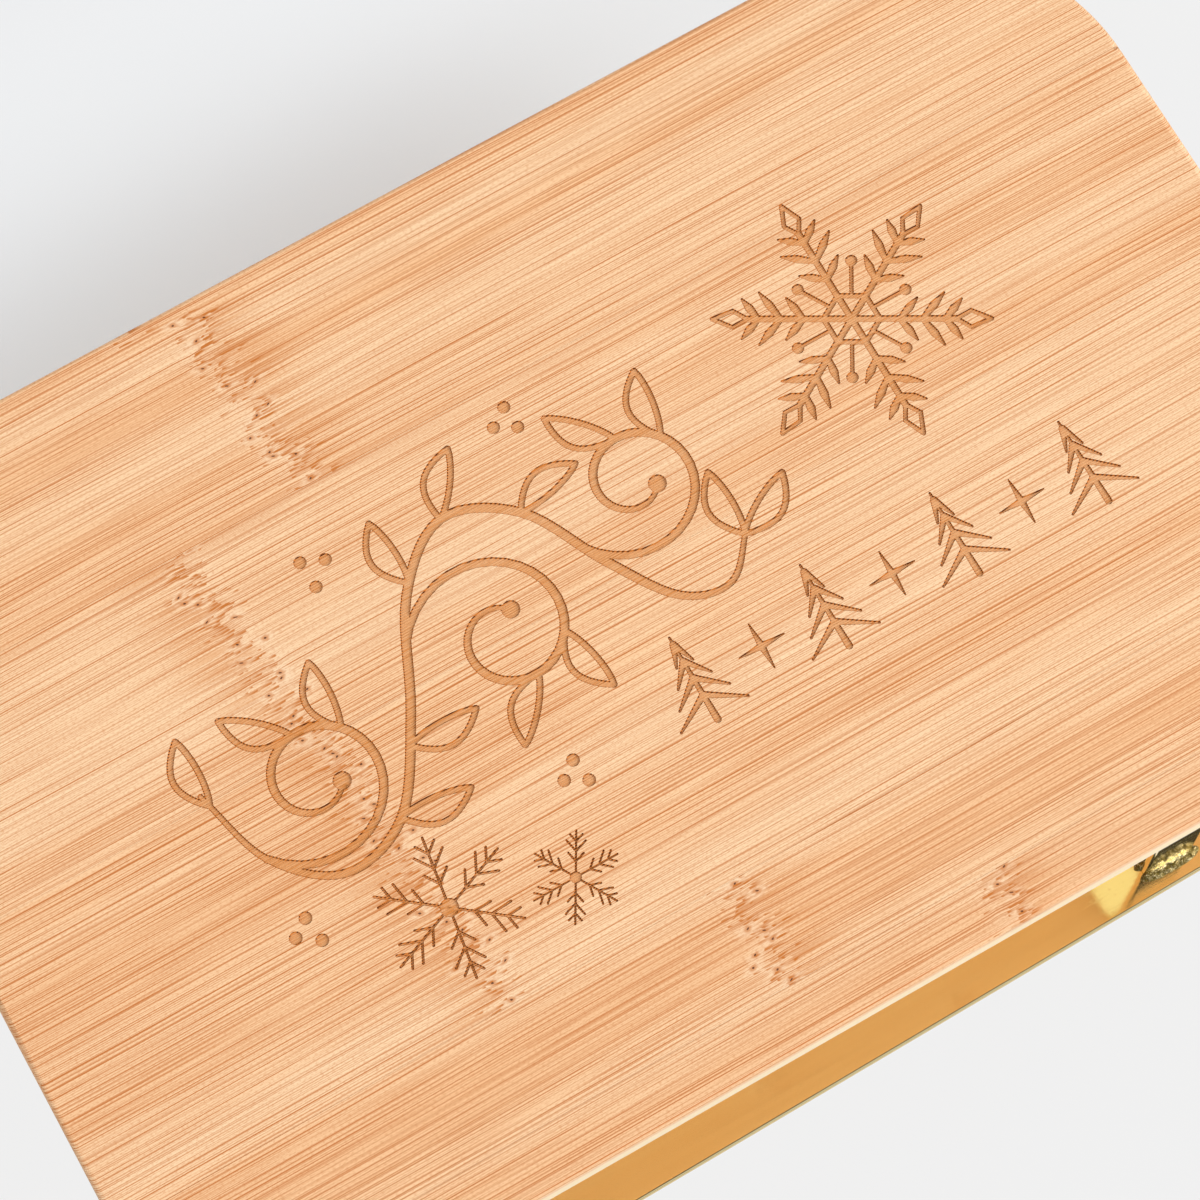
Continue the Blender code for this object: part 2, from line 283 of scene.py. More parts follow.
def bambooPattern(place, plainEnds):
    # the colour and the relief of the wood at each point
    look = bamboo
    cover, fade = look["cover"], look["fade"]
    lineSeed, dashSeed, dotSeed = look["seeds"]
    x = place.axis(0)
    y = place.axis(1)
    lines = glueLines + [leftY + look["extraLineShare"] * width]
    order = perStave(y, (0, 1, 2, 3, 4, 5), lines)
    across = y + place.axis(2) * look["sideShift"] + order * look["staveShift"]

    knot = perStave(y, look["knotAlong"], lines)
    knot = knot + perStave(y, look["knotSlant"], lines) * ((y - leftY) / width)
    jags, jagReach = look["knotRagged"]
    away = (x - rearX) - knot * width + (place.flatNoise(across * jags, order, 3) - 0.5) * jagReach
    zone = abs(away).ease(*look["knotZone"])
    wander = bend(x, across, look["wander"])
    swerve = bend(x, across, look["swerve"])
    bent = across + wander + swerve * zone

    marks = 0
    for index, (perMetre, halfWidth, strength, breaks) in enumerate(look["lines"]):
        through, number, luck = strips(bent, perMetre, index * lineSeed)
        off = abs(through - luck.axis(0).spread(*look["linePlace"])) / perMetre
        whole = place.flatNoise(x * breaks, number * look["lineShift"], 1).ease(*fade["lines"])
        line = off.ease(halfWidth, halfWidth / 2) * whole
        line = line * luck.axis(1).spread(*look["lineStrength"])
        marks = line * strength + marks
    bands = fibreNoise(x, bent, look["bands"], 2)
    marks = marks * plainEnds * bands.ease(*fade["fibreBands"]).spread(*look["bandStrength"])
    silk = fibreNoise(x, bent, look["silk"], 2)
    speckle = fibreNoise(x, bent, look["speckle"], 1)

    tail = perStave(y, look["knotTail"], lines)
    dashes = 0
    for index, (perMetre, reach, scatter, strength, shown) in enumerate(look["dashes"]):
        through, number, luck = strips(bent, perMetre, index * dashSeed)
        gap = (away + (luck.axis(0) - 0.5) * scatter) * tail
        length = luck.axis(1) * reach + look["shortestDash"]
        dash = gap.ease(*look["dashStart"]) * gap.ease(length, length * 0.2)
        dash = dash * (luck.axis(2) < shown)
        dashes = dash * abs(through - 0.5).ease(*look["dashSide"]) * strength + dashes
    behind = away * tail
    smudge = behind.ease(*look["smudgeStart"]) * behind.ease(*look["smudgeEnd"])
    smudge = smudge * silk.ease(*fade["silk"])

    through, number, luck = strips(across, look["dotsPerMetre"], dotSeed)
    offAcross = (through - luck.axis(0).spread(*look["dotPlace"])) / look["dotsPerMetre"]
    offAlong = away + (luck.axis(1) - 0.5) * look["dotScatter"]
    squared = offAcross * offAcross + offAlong * offAlong * look["dotLength"]
    reach = squared.maths("SQRT", squared)
    chosen = luck.axis(2) > 1 - look["dotShare"]
    dots, halo, paleRing = [reach.ease(*look[edges]) * chosen
                            for edges in ("dotEdges", "haloEdges", "ringEdges")]

    colour = bands.ease(*fade["warm"]).between(look["pale"], look["warm"]).layered(
        look,
        ("orangeTint", perStave(y, look["orange"], lines) * cover["orange"]),
        ("orangeTint", (silk - look["silkFloor"]) * cover["silk"]
         + bands.ease(*fade["orangeBands"]) * cover["bands"]),
        ("orangeTint", smudge * cover["smudge"]),
        ("knotPale", paleRing * cover["ring"] + zone * cover["knot"]),
        ("fibre", speckle.ease(*fade["speckle"]) * cover["speckle"]),
        ("fibre", marks * (1 - paleRing * 0.6)),
        ("knotStroke", dashes),
        ("knotStroke", halo * cover["halo"]),
        ("knotDot", dots * cover["dots"]))
    relief = 0.6 - marks * 0.25 - dashes * 0.3 - dots + silk * 0.1 - speckle * 0.15
    return colour, relief


def faceTurn(place):
    # how far a face looks along the board, across it and down
    normal = place.node("ShaderNodeNewGeometry", {}, {}, 1)
    return abs(normal.axis(0)), abs(normal.axis(1)), 0 - normal.axis(2)


def bambooMaterial():
    material, place = newMaterial("flattened_bamboo")
    look = bamboo
    cover, fade = look["cover"], look["fade"]
    alongTurn, acrossTurn, downTurn = faceTurn(place)
    ends = alongTurn.ease(*fade["ends"])
    colour, relief = bambooPattern(place, 1 - ends)
    # the long sides turn cream towards the bottom: partly the side's paler wood, partly painted
    # light on the sides
    sideCreamAndLight = place.axis(2).ease(*[topZ - depth for depth in look["sideCreamAndLightDepth"]])
    bundle = place.node("ShaderNodeTexVoronoi", {"voronoi_dimensions": "3D"},
                        {"Vector": place.times(look["bundles"]), "Scale": 1})
    colour = colour.layered(
        look,
        ("paleSideAndPaintedLight", acrossTurn.ease(*fade["side"]) * sideCreamAndLight * cover["side"]),
        # faces looking down are lighter and plainer: painted light under the board
        ("paintedUndersideLight", downTurn.ease(*fade["paintedUndersideLight"]) * cover["paintedUndersideLight"]),
        ("endGrain", ends * cover["endGrain"]),
        ("fibre", bundle.ease(*fade["bundles"]) * ends * cover["bundles"]))
    return dress(material, {"Specular IOR Level": look["gloss"]}, colour,
                 look["roughness"] - relief * 0.08, relief, look["bumpDepth"])


def raster(place):
    # the laser's burnt lines: 1 on a line, 0 between two
    turns = place.axis(1) * (2 * math.pi / bamboo["rasterPitch"])
    return turns.maths("SINE", turns).ease(*bamboo["fade"]["raster"])


def engravedFloorMaterial():
    material, place = newMaterial("engraved_floor")
    look = bamboo
    cover = look["cover"]
    colour, relief = bambooPattern(place, 1)
    ash = place.times(look["floorAsh"]).noise(2)
    burnt = raster(place)
    scorched = burnt * cover["burnt"] + ash.ease(*look["fade"]["ash"]) * cover["ash"]
    colour = colour.layered(look, ("engravedFloor", cover["engraving"]), ("scorch", scorched))
    return dress(material, {"Specular IOR Level": look["burntGloss"]}, colour,
                 ash * 0.1 + look["floorRoughness"], relief + ash * 0.4 - burnt * 0.5,
                 look["burntBumpDepth"])


def scorchedWallMaterial():
    # burnt dots where the laser's lines end
    material, place = newMaterial("scorched_wall")
    look = bamboo
    ash = place.times(look["wallAsh"]).noise(2)
    burnt = raster(place) * (ash + 0.45)
    colour = burnt.ease(*look["fade"]["scorch"]).between(look["scorchPale"], look["scorch"])
    return dress(material, {"Specular IOR Level": look["burntGloss"]}, colour,
                 ash * 0.2 + look["wallRoughness"], ash - burnt * 0.5, look["burntBumpDepth"])


# Metal finishes, and the sizes of the strip that they coat

strip = {
    "thickness": 0.002,
    "breadth": 0.0125,
    "edgeRound": 0.0007,
    "edgeSteps": 4,
    "endRound": 0.0003,
    "endSteps": 2,
    "toeIn": 0.73,  # degrees that each runner turns in towards the front
    "bendRadius": 0.005,  # of the strap's middle line
    "bendSteps": 14,
    "curlSteps": 56,
    "scrollRadius": 0.012,
    "scrollTurn": 130,
    "scrollSteps": 30,
    "flatSteps": 24,
    "holeRadius": 0.00215,
}

gold = {
    "bright": (1.0, 0.87, 0.50, 1),
    "deep": (0.98, 0.81, 0.43, 1),
    "paintedEdgeShade": (0.62, 0.44, 0.17, 1),
    "weldDark": (0.17, 0.12, 0.026, 1),
    "roughness": 0.06,
    "speckRoughness": 0.07,
    "rubbedRoughness": 0.05,
    "cloudRoughness": 0.03,
    "cutRoughness": 0.12,
    "weldRoughness": 0.42,
    # how fine each pattern is, along, across and up
    "peel": (60, 60, 60),
    "cloud": (14, 14, 14),
    "rubbed": (40, 2600, 2600),
    "specks": (900, 900, 900),
    "weldGrain": (3400, 3400, 3400),
    "weldLumps": (1100, 1100, 1100),
    "weldPaintedHighlight": (0.00182, 0.00198),  # where the painted highlight along a bead's upper edge begins, above the runner
    "bumpDepth": 0.00005,
    "weldBumpDepth": 0.00016,
}


def mirrorGoldMaterial():
    # polished plating with a faint orange-peel, fine rubbing marks, a few dull specks
    # and painted shade on the runners' side edges next to the floor, which are also rougher
    material, place = newMaterial("mirror_gold")
    peel = place.times(gold["peel"]).noise(2)
    cloud = place.times(gold["cloud"]).noise(2)
    rubbed = place.times(gold["rubbed"]).noise(2)
    specks = place.times(gold["specks"]).noise(1)
    colour = cloud.ease(0.35, 0.7).between(gold["bright"], gold["deep"])
    # side edges at floor height are painted darker: painted shade along the floor
    sole = place.axis(2).ease(strip["thickness"] * 1.1, strip["thickness"] * 0.8)
    edge = faceTurn(place)[1].ease(0.75, 0.95) * sole
    haze = rubbed.ease(0.5, 0.75) * gold["rubbedRoughness"]
    haze = haze + specks.ease(0.64, 0.76) * gold["speckRoughness"]
    haze = haze + cloud * gold["cloudRoughness"] + edge * gold["cutRoughness"]
    return dress(material, {"Metallic": 1}, colour.layered(gold, ("paintedEdgeShade", edge)),
                 haze + gold["roughness"], peel * 0.5 + rubbed * 0.05 + specks * 0.03,
                 gold["bumpDepth"])


def weldGoldMaterial():
    # plating over a rough bead: dull and grainy, with random bright flecks and a painted highlight
    # along the bead's upper edge
    material, place = newMaterial("weld_gold")
    grain = place.times(gold["weldGrain"]).noise(2, 0.7)
    lumps = place.times(gold["weldLumps"]).noise(2)
    height = place.axis(2) - strip["thickness"]
    # a painted highlight by height along the bead's upper edge, added to random bright flecks
    paintedHighlight = height.ease(*gold["weldPaintedHighlight"]) * 0.6
    flecksAndPaintedHighlight = (grain + lumps * 0.5).ease(0.72, 1.0) * 0.8 + paintedHighlight
    return dress(material, {"Metallic": 1}, flecksAndPaintedHighlight.between(gold["weldDark"], gold["bright"]),
                 gold["weldRoughness"] - flecksAndPaintedHighlight * 0.2, grain + lumps * 0.4, gold["weldBumpDepth"])


zinc = {
    "dull": (0.62, 0.61, 0.56, 1),
    "bright": (0.78, 0.75, 0.66, 1),
    "bloom": (700, 700, 700),
    "roughness": 0.22,
    "bumpDepth": 0.00003,
}


def zincMaterial():
    material, place = newMaterial("zinc_screw")
    bloom = place.times(zinc["bloom"]).noise(3)
    return dress(material, {"Metallic": 1}, bloom.between(zinc["dull"], zinc["bright"]),
                 bloom * 0.2 + zinc["roughness"], bloom, zinc["bumpDepth"])


finishes = {
    "bamboo": bambooMaterial(),
    "floor": engravedFloorMaterial(),
    "wall": scorchedWallMaterial(),
    "gold": mirrorGoldMaterial(),
    "weld": weldGoldMaterial(),
    "zinc": zincMaterial(),
}
print("materials ready")


# Mesh helpers

def addObject(name, data):
    piece = bpy.data.objects.new(name, data)
    bpy.context.scene.collection.objects.link(piece)
    return piece


def makeObject(name, shape, material):
    mesh = bpy.data.meshes.new(name)
    shape.to_mesh(mesh)
    shape.free()
    mesh.materials.append(material)
    return addObject(name, mesh)


def finalMesh(piece):
    graph = bpy.context.evaluated_depsgraph_get()
    return bpy.data.meshes.new_from_object(piece.evaluated_get(graph))


def discard(piece):
    bpy.data.objects.remove(piece, do_unlink=True)


def combine(piece, other, operation):
    # other is one object or a collection of them
    step = piece.modifiers.new(operation.lower(), "BOOLEAN")
    step.operation = operation
    step.solver = "MANIFOLD"
    step.material_mode = "TRANSFER"
    if isinstance(other, bpy.types.Collection):
        step.operand_type = "COLLECTION"
        step.collection = other
    else:
        step.object = other
    mesh = finalMesh(piece)
    piece.modifiers.clear()
    piece.data = mesh


def boxShape(low, high):
    shape = bmesh.new()
    bmesh.ops.create_cube(shape, size=1)
    bmesh.ops.scale(shape, vec=high - low, verts=shape.verts)
    bmesh.ops.translate(shape, vec=(low + high) / 2, verts=shape.verts)
    return shape


def closeHoles(shape):
    # fills what is open and gives the new faces
    openEdges = [edge for edge in shape.edges if edge.is_boundary]
    return bmesh.ops.holes_fill(shape, edges=openEdges, sides=0)["faces"]


def faceOutwards(shape):
    bmesh.ops.recalc_face_normals(shape, faces=shape.faces)


def shadeSmooth(shape):
    for face in shape.faces:
        face.smooth = True


def roundOff(shape, edges, radius, segments):
    bmesh.ops.bevel(shape, geom=edges, offset=radius, offset_type="OFFSET", segments=segments,
                    profile=0.5, affect="EDGES", material=-1)


def arc(centre, radius, start, turn, steps):
    # points of a flat arc, angles in degrees
    return [Vector(centre) + heading(start + turn * step / steps) * radius
            for step in range(steps + 1)]


def polyCurve(name, points, radii, flat, closed=False):
    # a curve of straight steps through the points
    curve = bpy.data.curves.new(name, "CURVE")
    curve.dimensions = "2D" if flat else "3D"
    line = curve.splines.new("POLY")
    line.points.add(len(points) - 1)
    for point, place, radius in zip(line.points, points, radii):
        point.co = (*place, 1)
        point.radius = radius
    line.use_cyclic_u = closed
    return addObject(name, curve)


def sweep(name, points, radii, section, flat):
    # the section drawn along the points and closed at both ends
    line = polyCurve(name, points, radii, flat)
    line.data.twist_mode = "Z_UP"
    line.data.bevel_mode = "OBJECT"
    line.data.bevel_object = section
    mesh = finalMesh(line)
    discard(line)
    shape = bmesh.new()
    shape.from_mesh(mesh)
    caps = closeHoles(shape)
    faceOutwards(shape)
    return shape, caps


# Engraving: a scrolling winter branch, a row of small firs and three snow crystals

engraving = {
    "depth": 0.00042,
    "cutterAbove": 0.0001,  # how far the cutter stands above the board
    "wallSteepness": 2.1,  # how deep a groove gets for its half width
    "routeSteps": 7,
    "roundEnd": ((0.38, 0.92), (0.71, 0.71), (0.92, 0.38), (1.0, 0.03)),  # beyond the end, width
}
strokes = []  # each a list of (place, half width)


def roundTip(end, before, halfWidth):
    ahead = (end - before).normalized()
    return [(end + ahead * halfWidth * beyond, halfWidth * share)
            for beyond, share in engraving["roundEnd"]]


def addStroke(route, widths):
    # widths: half width in metres, one value or one per point
    if not hasattr(widths, "__len__"):
        widths = [widths] * len(route)
    first = roundTip(route[0], route[1], widths[0])
    last = roundTip(route[-1], route[-2], widths[-1])
    strokes.append(first[::-1] + list(zip(route, widths)) + last)


def addDot(centre, radius):
    side = [(centre + Vector((radius * beyond, 0, 0)), radius * share)
            for beyond, share in engraving["roundEnd"]]
    otherSide = [(2 * centre - place, share) for place, share in side]
    strokes.append(otherSide[::-1] + [(centre, radius)] + side)


def tapered(route, *values):
    # widths that pass through the given values, evenly spaced along the route
    last = len(route) - 1
    widths = []
    for index in range(len(route)):
        place = index / last * (len(values) - 1)
        before = min(int(place), len(values) - 2)
        widths.append(values[before] + (values[before + 1] - values[before]) * (place - before))
    return widths


def smoothRoute(points, steps):
    # an even curve through a few given points
    ends = [2 * points[0] - points[1]] + points + [2 * points[-1] - points[-2]]
    route = []
    for a, b, c, d in zip(ends, ends[1:], ends[2:], ends[3:]):
        for step in range(steps):
            t = step / steps
            route.append(0.5 * (2 * b + (c - a) * t + (2 * a - 5 * b + 4 * c - d) * t * t
                                + (3 * b - a - 3 * c + d) * t ** 3))
    route.append(points[-1])
    return route


def placeOn(route, share):
    # a point of the route and the way the route runs there, in degrees
    index = max(1, min(len(route) - 2, round(share * (len(route) - 1))))
    ahead = route[index + 1] - route[index - 1]
    return route[index], math.degrees(math.atan2(ahead.y, ahead.x))


branch = {
    "stem": ((0.275, 0.520), (0.303, 0.430), (0.365, 0.378), (0.440, 0.400), (0.500, 0.490),
             (0.555, 0.600), (0.625, 0.655), (0.700, 0.620), (0.750, 0.530), (0.797, 0.462),
             (0.850, 0.448), (0.893, 0.492)),
    "stemHalfWidths": (0.0006, 0.0011, 0.0011, 0.0011, 0.0006),
    "curlHalfWidths": (0.0009, 0.00105, 0.00098, 0.00057),
    "curlSteps": 44,
    "leafHalfWidth": 0.00073,
    "leafLength": 0.0760,
    "leafBreadth": 0.0275,
    "leafBow": 0.10,
    "leafFullness": 0.85,
    "leafSteps": 12,
    "curlEndRadius": 0.0020,
    "berryRadius": 0.00142,
    # share along the stem, side, first radius, last radius, turns
    "curls": ((0.085, 1, 0.094, 0.028, 1.32), (0.415, -1, 0.100, 0.028, 1.30),
              (0.700, 1, 0.088, 0.026, 1.32)),
    "curlLeaves": ((0.38, -46), (0.50, -48)),
    # share along the stem, side, degrees from the stem
    "leaves": ((0.0, 1, 165), (0.275, -1, 46), (0.34, -1, 60), (0.47, 1, 44), (0.545, 1, 48),
               (0.64, 1, 60), (0.985, -1, 20), (0.985, 1, 40)),
    "berries": ((0.290, 0.345), (0.312, 0.330), (0.308, 0.358), (0.480, 0.655), (0.502, 0.676),
                (0.478, 0.686), (0.600, 0.352), (0.622, 0.340), (0.618, 0.366), (0.720, 0.714),
                (0.742, 0.702), (0.740, 0.728)),
}


def curlFrom(route, share, side, outer, inner, turns):
    # a stem that leaves the route and winds in on itself
    start, ahead = placeOn(route, share)
    centre = start + heading(ahead + 90 * side) * outer * width
    curl = []
    for step in range(branch["curlSteps"] + 1):
        done = step / branch["curlSteps"]
        radius = outer * (inner / outer) ** done
        turned = ahead - 90 * side + side * 360 * turns * done
        curl.append(centre + heading(turned) * radius * width)
    return curl


def engraveLeaf(route, share, side, turn):
    # an outlined leaf, with a sliver of the board left standing inside it
    look = branch
    base, ahead = placeOn(route, share)
    direction = ahead + turn * side
    for edge in (1, -1):
        outline = []
        for step in range(look["leafSteps"] + 1):
            done = step / look["leafSteps"]
            swell = math.sin(math.pi * done)
            out = edge * swell ** look["leafFullness"] * look["leafBreadth"] / 2
            out += look["leafBow"] * look["leafLength"] * swell
            outline.append(base + heading(direction) * look["leafLength"] * width * done
                           + heading(direction + 90 * side) * out * width)
        addStroke(outline, look["leafHalfWidth"])


def engraveBranch():
    look = branch
    stem = smoothRoute([onBoard(*point) for point in look["stem"]], engraving["routeSteps"])
    addStroke(stem, tapered(stem, *look["stemHalfWidths"]))
    for share, side, outer, inner, turns in look["curls"]:
        curl = curlFrom(stem, share, side, outer, inner, turns)
        addStroke(curl, tapered(curl, *look["curlHalfWidths"]))
        addDot(curl[-1], look["curlEndRadius"])
        for leafShare, turn in look["curlLeaves"]:
            engraveLeaf(curl, leafShare, side, turn)
    for share, side, turn in look["leaves"]:
        engraveLeaf(stem, share, side, turn)
    for place in look["berries"]:
        addDot(onBoard(*place), look["berryRadius"])


firRow = {
    "from": 0.765,
    "to": 1.225,
    "count": 7,  # firs and stars in turn
    "foot": 0.330,
    "height": 0.098,
    "tiers": 4,
    "lowestTier": 0.30,  # shares of a fir's height
    "tierSpan": 0.62,
    "tierDrop": 0.24,
    "tierMeet": 1.12,  # where the tiers' ends would meet
    "tierReach": 0.62,  # share of the spacing
    "starLift": 0.45,
    "starReach": 0.34,
    "starWaist": 0.3,  # share of a point's length
    "halfWidth": 0.00082,
    "thinHalfWidth": 0.00030,
}


def engraveFirs():
    look = firRow
    widths = [look["halfWidth"], look["thinHalfWidth"]]
    spacing = (look["to"] - look["from"]) / (look["count"] - 1)

    def spot(index, level, aside=0):
        along = look["from"] + spacing * index
        return onBoard(along + aside, look["foot"] + look["height"] * level)

    for index in range(look["count"]):
        if index % 2:
            engraveStar(spot(index, look["starLift"]), spacing * look["starReach"])
            continue
        addStroke([spot(index, 0), spot(index, 1)], widths)
        for tier in range(look["tiers"]):
            level = look["lowestTier"] + look["tierSpan"] * tier / (look["tiers"] - 1)
            reach = spacing * look["tierReach"] * (look["tierMeet"] - level)
            for side in (-1, 1):
                end = spot(index, level - look["tierDrop"], side * reach)
                addStroke([spot(index, level), end], widths)


def engraveStar(centre, reach):
    # four long thin points
    thick, thin = firRow["halfWidth"], firRow["thinHalfWidth"]
    for quarter in range(4):
        far = centre + heading(90 * quarter) * reach * width
        addStroke([centre, centre.lerp(far, firRow["starWaist"]), far],
                  [thick, thick * 0.75, thin * 0.6])


# Lengths and places on the large crystal's arms are shares of its reach
largeCrystal = {
    "centre": (1.0996, 0.6315),
    "reach": 0.1466,
    "halfWidth": 0.00078,
    "tip": (0.74, 0.985),  # from and to
    "tipHalfBreadth": 0.062,
    "tipWidest": 0.42,  # share of the tip's length
    "barbs": ((0.34, 0.20), (0.50, 0.25), (0.66, 0.19)),  # place and length
    "barbTurn": 52,
    "barbWidest": 0.55,  # share of the barb's length
    "ring": 0.20,
    "ray": (0.17, 0.40),
    "rayDot": 0.44,
}


def addForks(centre, out, reach, forks, turn, middles, widths):
    # pairs of short strokes on both sides of an arm, with points between root and end
    for start, length in forks:
        root = centre + heading(out) * reach * start
        for side in (-1, 1):
            end = root + heading(out + turn * side) * reach * length
            addStroke([root] + [root.lerp(end, share) for share in middles] + [end], widths)


def engraveLargeCrystal():
    # six arms with rhombic tips, three pairs of barbs each and a six-sided ring round the hub
    look = largeCrystal
    centre = onBoard(*look["centre"])
    reach = look["reach"] * width
    half = look["halfWidth"]
    for arm in range(6):
        out = 90 + 60 * arm
        ahead = heading(out)
        tipBase, tipEnd = [centre + ahead * reach * share for share in look["tip"]]
        addStroke([centre, tipBase], half)
        for side in (-1, 1):
            corner = tipBase.lerp(tipEnd, look["tipWidest"])
            corner += heading(out + 90 * side) * reach * look["tipHalfBreadth"]
            addStroke([tipBase, corner, tipEnd], half * 0.72)
        addForks(centre, out, reach, look["barbs"], look["barbTurn"], [look["barbWidest"]],
                 [half * 0.8, half * 1.25, half * 0.35])
        addStroke([centre + heading(turn) * reach * look["ring"] for turn in (out, out + 60)],
                  half * 0.8)
        between = heading(out + 30)
        addStroke([centre + between * reach * share for share in look["ray"]], half * 0.6)
        addDot(centre + between * reach * look["rayDot"], half * 1.7)


smallCrystals = {
    # centre, reach in board widths, turn in degrees, half width of the lines
    "places": (((0.4374, 0.2960), 0.0762, 22, 0.00030), ((0.5615, 0.2602), 0.0476, 0, 0.00024)),
    "hub": 0.13,  # shares of the reach
    "armFrom": 0.10,
    "forks": ((0.34, 0.24), (0.56, 0.30), (0.77, 0.20)),  # place and length
    "forkTurn": 42,
}


def engraveSmallCrystal(place, size, firstArm, half):
    # six thin arms with three forks each round a plain hub
    look = smallCrystals
    centre = onBoard(*place)
    reach = size * width
    addDot(centre, reach * look["hub"])
    for arm in range(6):
        out = firstArm + 60 * arm
        ahead = heading(out)
        addStroke([centre + ahead * reach * look["armFrom"], centre + ahead * reach], half)
        addForks(centre, out, reach, look["forks"], look["forkTurn"], [], half)


def grooveBars():
    # every stroke as a closed V-shaped bar that lies along the board's top
    steep = engraving["wallSteepness"]
    corners = ((-1, 0.6, 0), (-1, 0, 0), (0, -steep, 0), (1, 0, 0), (1, 0.6, 0))
    section = polyCurve("groove_section", corners, [1] * 5, True, True)
    bars = []
    for stroke in strokes:
        places, halfWidths = zip(*stroke)
        shape = sweep("groove", places, halfWidths, section, False)[0]
        bars.append(makeObject("groove_bar", shape, finishes["wall"]))
    discard(section)
    return bars


def grooveCutter():
    # the bars made one solid, and cut off flat at the grooves' depth
    bars = grooveBars()
    others = bpy.data.collections.new("groove_bars")
    bpy.context.scene.collection.children.link(others)
    for bar in bars[1:]:
        others.objects.link(bar)
        bpy.context.scene.collection.objects.unlink(bar)
    combine(bars[0], others, "UNION")
    low = Vector((rearX, leftY, topZ - engraving["depth"]))
    high = Vector((frontX, rightY, topZ + engraving["cutterAbove"]))
    cutter = makeObject("groove_cutter", boxShape(low, high), finishes["floor"])
    combine(cutter, bars[0], "INTERSECT")
    for bar in bars:
        discard(bar)
    bpy.data.collections.remove(others)
    return cutter


def engravePattern():
    engraveBranch()
    engraveFirs()
    engraveLargeCrystal()
    for values in smallCrystals["places"]:
        engraveSmallCrystal(*values)
    print("strokes drawn:", len(strokes))
    return grooveCutter()


# Board: one rounded blank, cut into its five staves along the glue lines, then engraved

board = {
    "frontCorner": (0.0508, 32),  # radius and steps
    "rearCorner": (0.006, 10),
    "easedEdge": (0.0014, 5),
    "glueGap": 0.00004,
    "pilotRadius": 0.00185,
    "pilotDepth": 0.0078,
    "holeSides": 32,
    "drillPast": 0.001,  # how far the drill runs out of a face
}
screwNames = [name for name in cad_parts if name.endswith("_screw")]
screwPlaces = {name: (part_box(name)[0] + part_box(name)[1]) / 2 for name in screwNames}


def boardBlank():
    shape = boxShape(Vector((rearX, leftY, underZ)), Vector((frontX, rightY, topZ)))

    def runsAlong(edge, axis):
        return abs(edge.verts[0].co[axis] - edge.verts[1].co[axis]) > nearby

    def uprights(x):
        return [edge for edge in shape.edges if not runsAlong(edge, 1)
                and all(abs(vert.co.x - x) < nearby for vert in edge.verts)]

    roundOff(shape, uprights(frontX), *board["frontCorner"])
    roundOff(shape, uprights(rearX), *board["rearCorner"])
    rims = [edge for edge in shape.edges if not runsAlong(edge, 2)]
    roundOff(shape, rims, *board["easedEdge"])
    faceOutwards(shape)
    for face in shape.faces:
        face.smooth = abs(face.normal.z) < 0.999
    return shape


def cutStave(blank, near, far):
    # keeps what lies between two glue lines, or a glue line and a side, and closes the cuts
    stave = blank.copy()
    for line, outward in ((near, -1), (far, 1)):
        if leftY < line < rightY:
            geometry = list(stave.verts) + list(stave.edges) + list(stave.faces)
            y = line - outward * board["glueGap"] / 2
            bmesh.ops.bisect_plane(stave, geom=geometry, plane_co=(0, y, 0),
                                   plane_no=(0, outward, 0), clear_outer=True)
            for face in closeHoles(stave):
                face.smooth = False
    faceOutwards(stave)
    return stave


def drillHole(piece, place, radius, low, high):
    shape = bmesh.new()
    bmesh.ops.create_cone(shape, cap_ends=True, segments=board["holeSides"], radius1=radius,
                          radius2=radius, depth=high - low)
    bmesh.ops.translate(shape, vec=(place.x, place.y, (low + high) / 2), verts=shape.verts)
    bit = makeObject("drill_bit", shape, piece.data.materials[0])
    combine(piece, bit, "DIFFERENCE")
    discard(bit)


def buildBoard():
    cutter = engravePattern()
    print("engraving cutter made:", len(cutter.data.polygons), "faces")
    grooveLow = min(vert.co.y for vert in cutter.data.vertices)
    grooveHigh = max(vert.co.y for vert in cutter.data.vertices)
    blank = boardBlank()
    sides = [leftY] + glueLines + [rightY]
    for name, near, far in zip(staveNames, sides, sides[1:]):
        stave = makeObject("engraved_" + name, cutStave(blank, near, far), finishes["bamboo"])
        for place in screwPlaces.values():
            if near < place.y < far:
                drillHole(stave, place, board["pilotRadius"], underZ - board["drillPast"],
                          underZ + board["pilotDepth"])
        if near < grooveHigh and far > grooveLow:
            combine(stave, cutter, "DIFFERENCE")
        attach(stave, "root")
        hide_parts(name)
    blank.free()
    discard(cutter)


buildBoard()
print("board engraved")


# Metal strip: two runners that curl up at the front, and two cross straps bent into a U

def stripSection():
    # the strip cut across: its thickness lies along the first axis
    flat = strip["thickness"] / 2 - strip["edgeRound"]
    tall = strip["breadth"] / 2 - strip["edgeRound"]
    points = []
    for quarter, (side, end) in enumerate(((1, 1), (-1, 1), (-1, -1), (1, -1))):
        corner = (side * flat, end * tall, 0)
        points += arc(corner, strip["edgeRound"], 90 * quarter, 90, strip["edgeSteps"])
    return polyCurve("strip_section", points, [1] * len(points), True, True)


def bentStrip(name, route, matrix):
    # the strip along a flat route, stood up in place by the matrix
    section = stripSection()
    shape, caps = sweep(name, route, [1] * len(route), section, True)
    discard(section)
    rims = [edge for cap in caps for edge in cap.edges]
    roundOff(shape, rims, strip["endRound"], strip["endSteps"])
    bmesh.ops.transform(shape, matrix=matrix, verts=shape.verts)
    faceOutwards(shape)
    shadeSmooth(shape)
    return makeObject(name, shape, finishes["gold"])


def finishMetal(piece, *nodes):
    even = piece.modifiers.new("even_shading", "WEIGHTED_NORMAL")
    even.keep_sharp = True
    even.weight = 80
    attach(piece, "root")
    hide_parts(*nodes)


def evenSteps(first, last):
    steps = strip["flatSteps"]
    return [first.lerp(last, step / steps) for step in range(steps)]


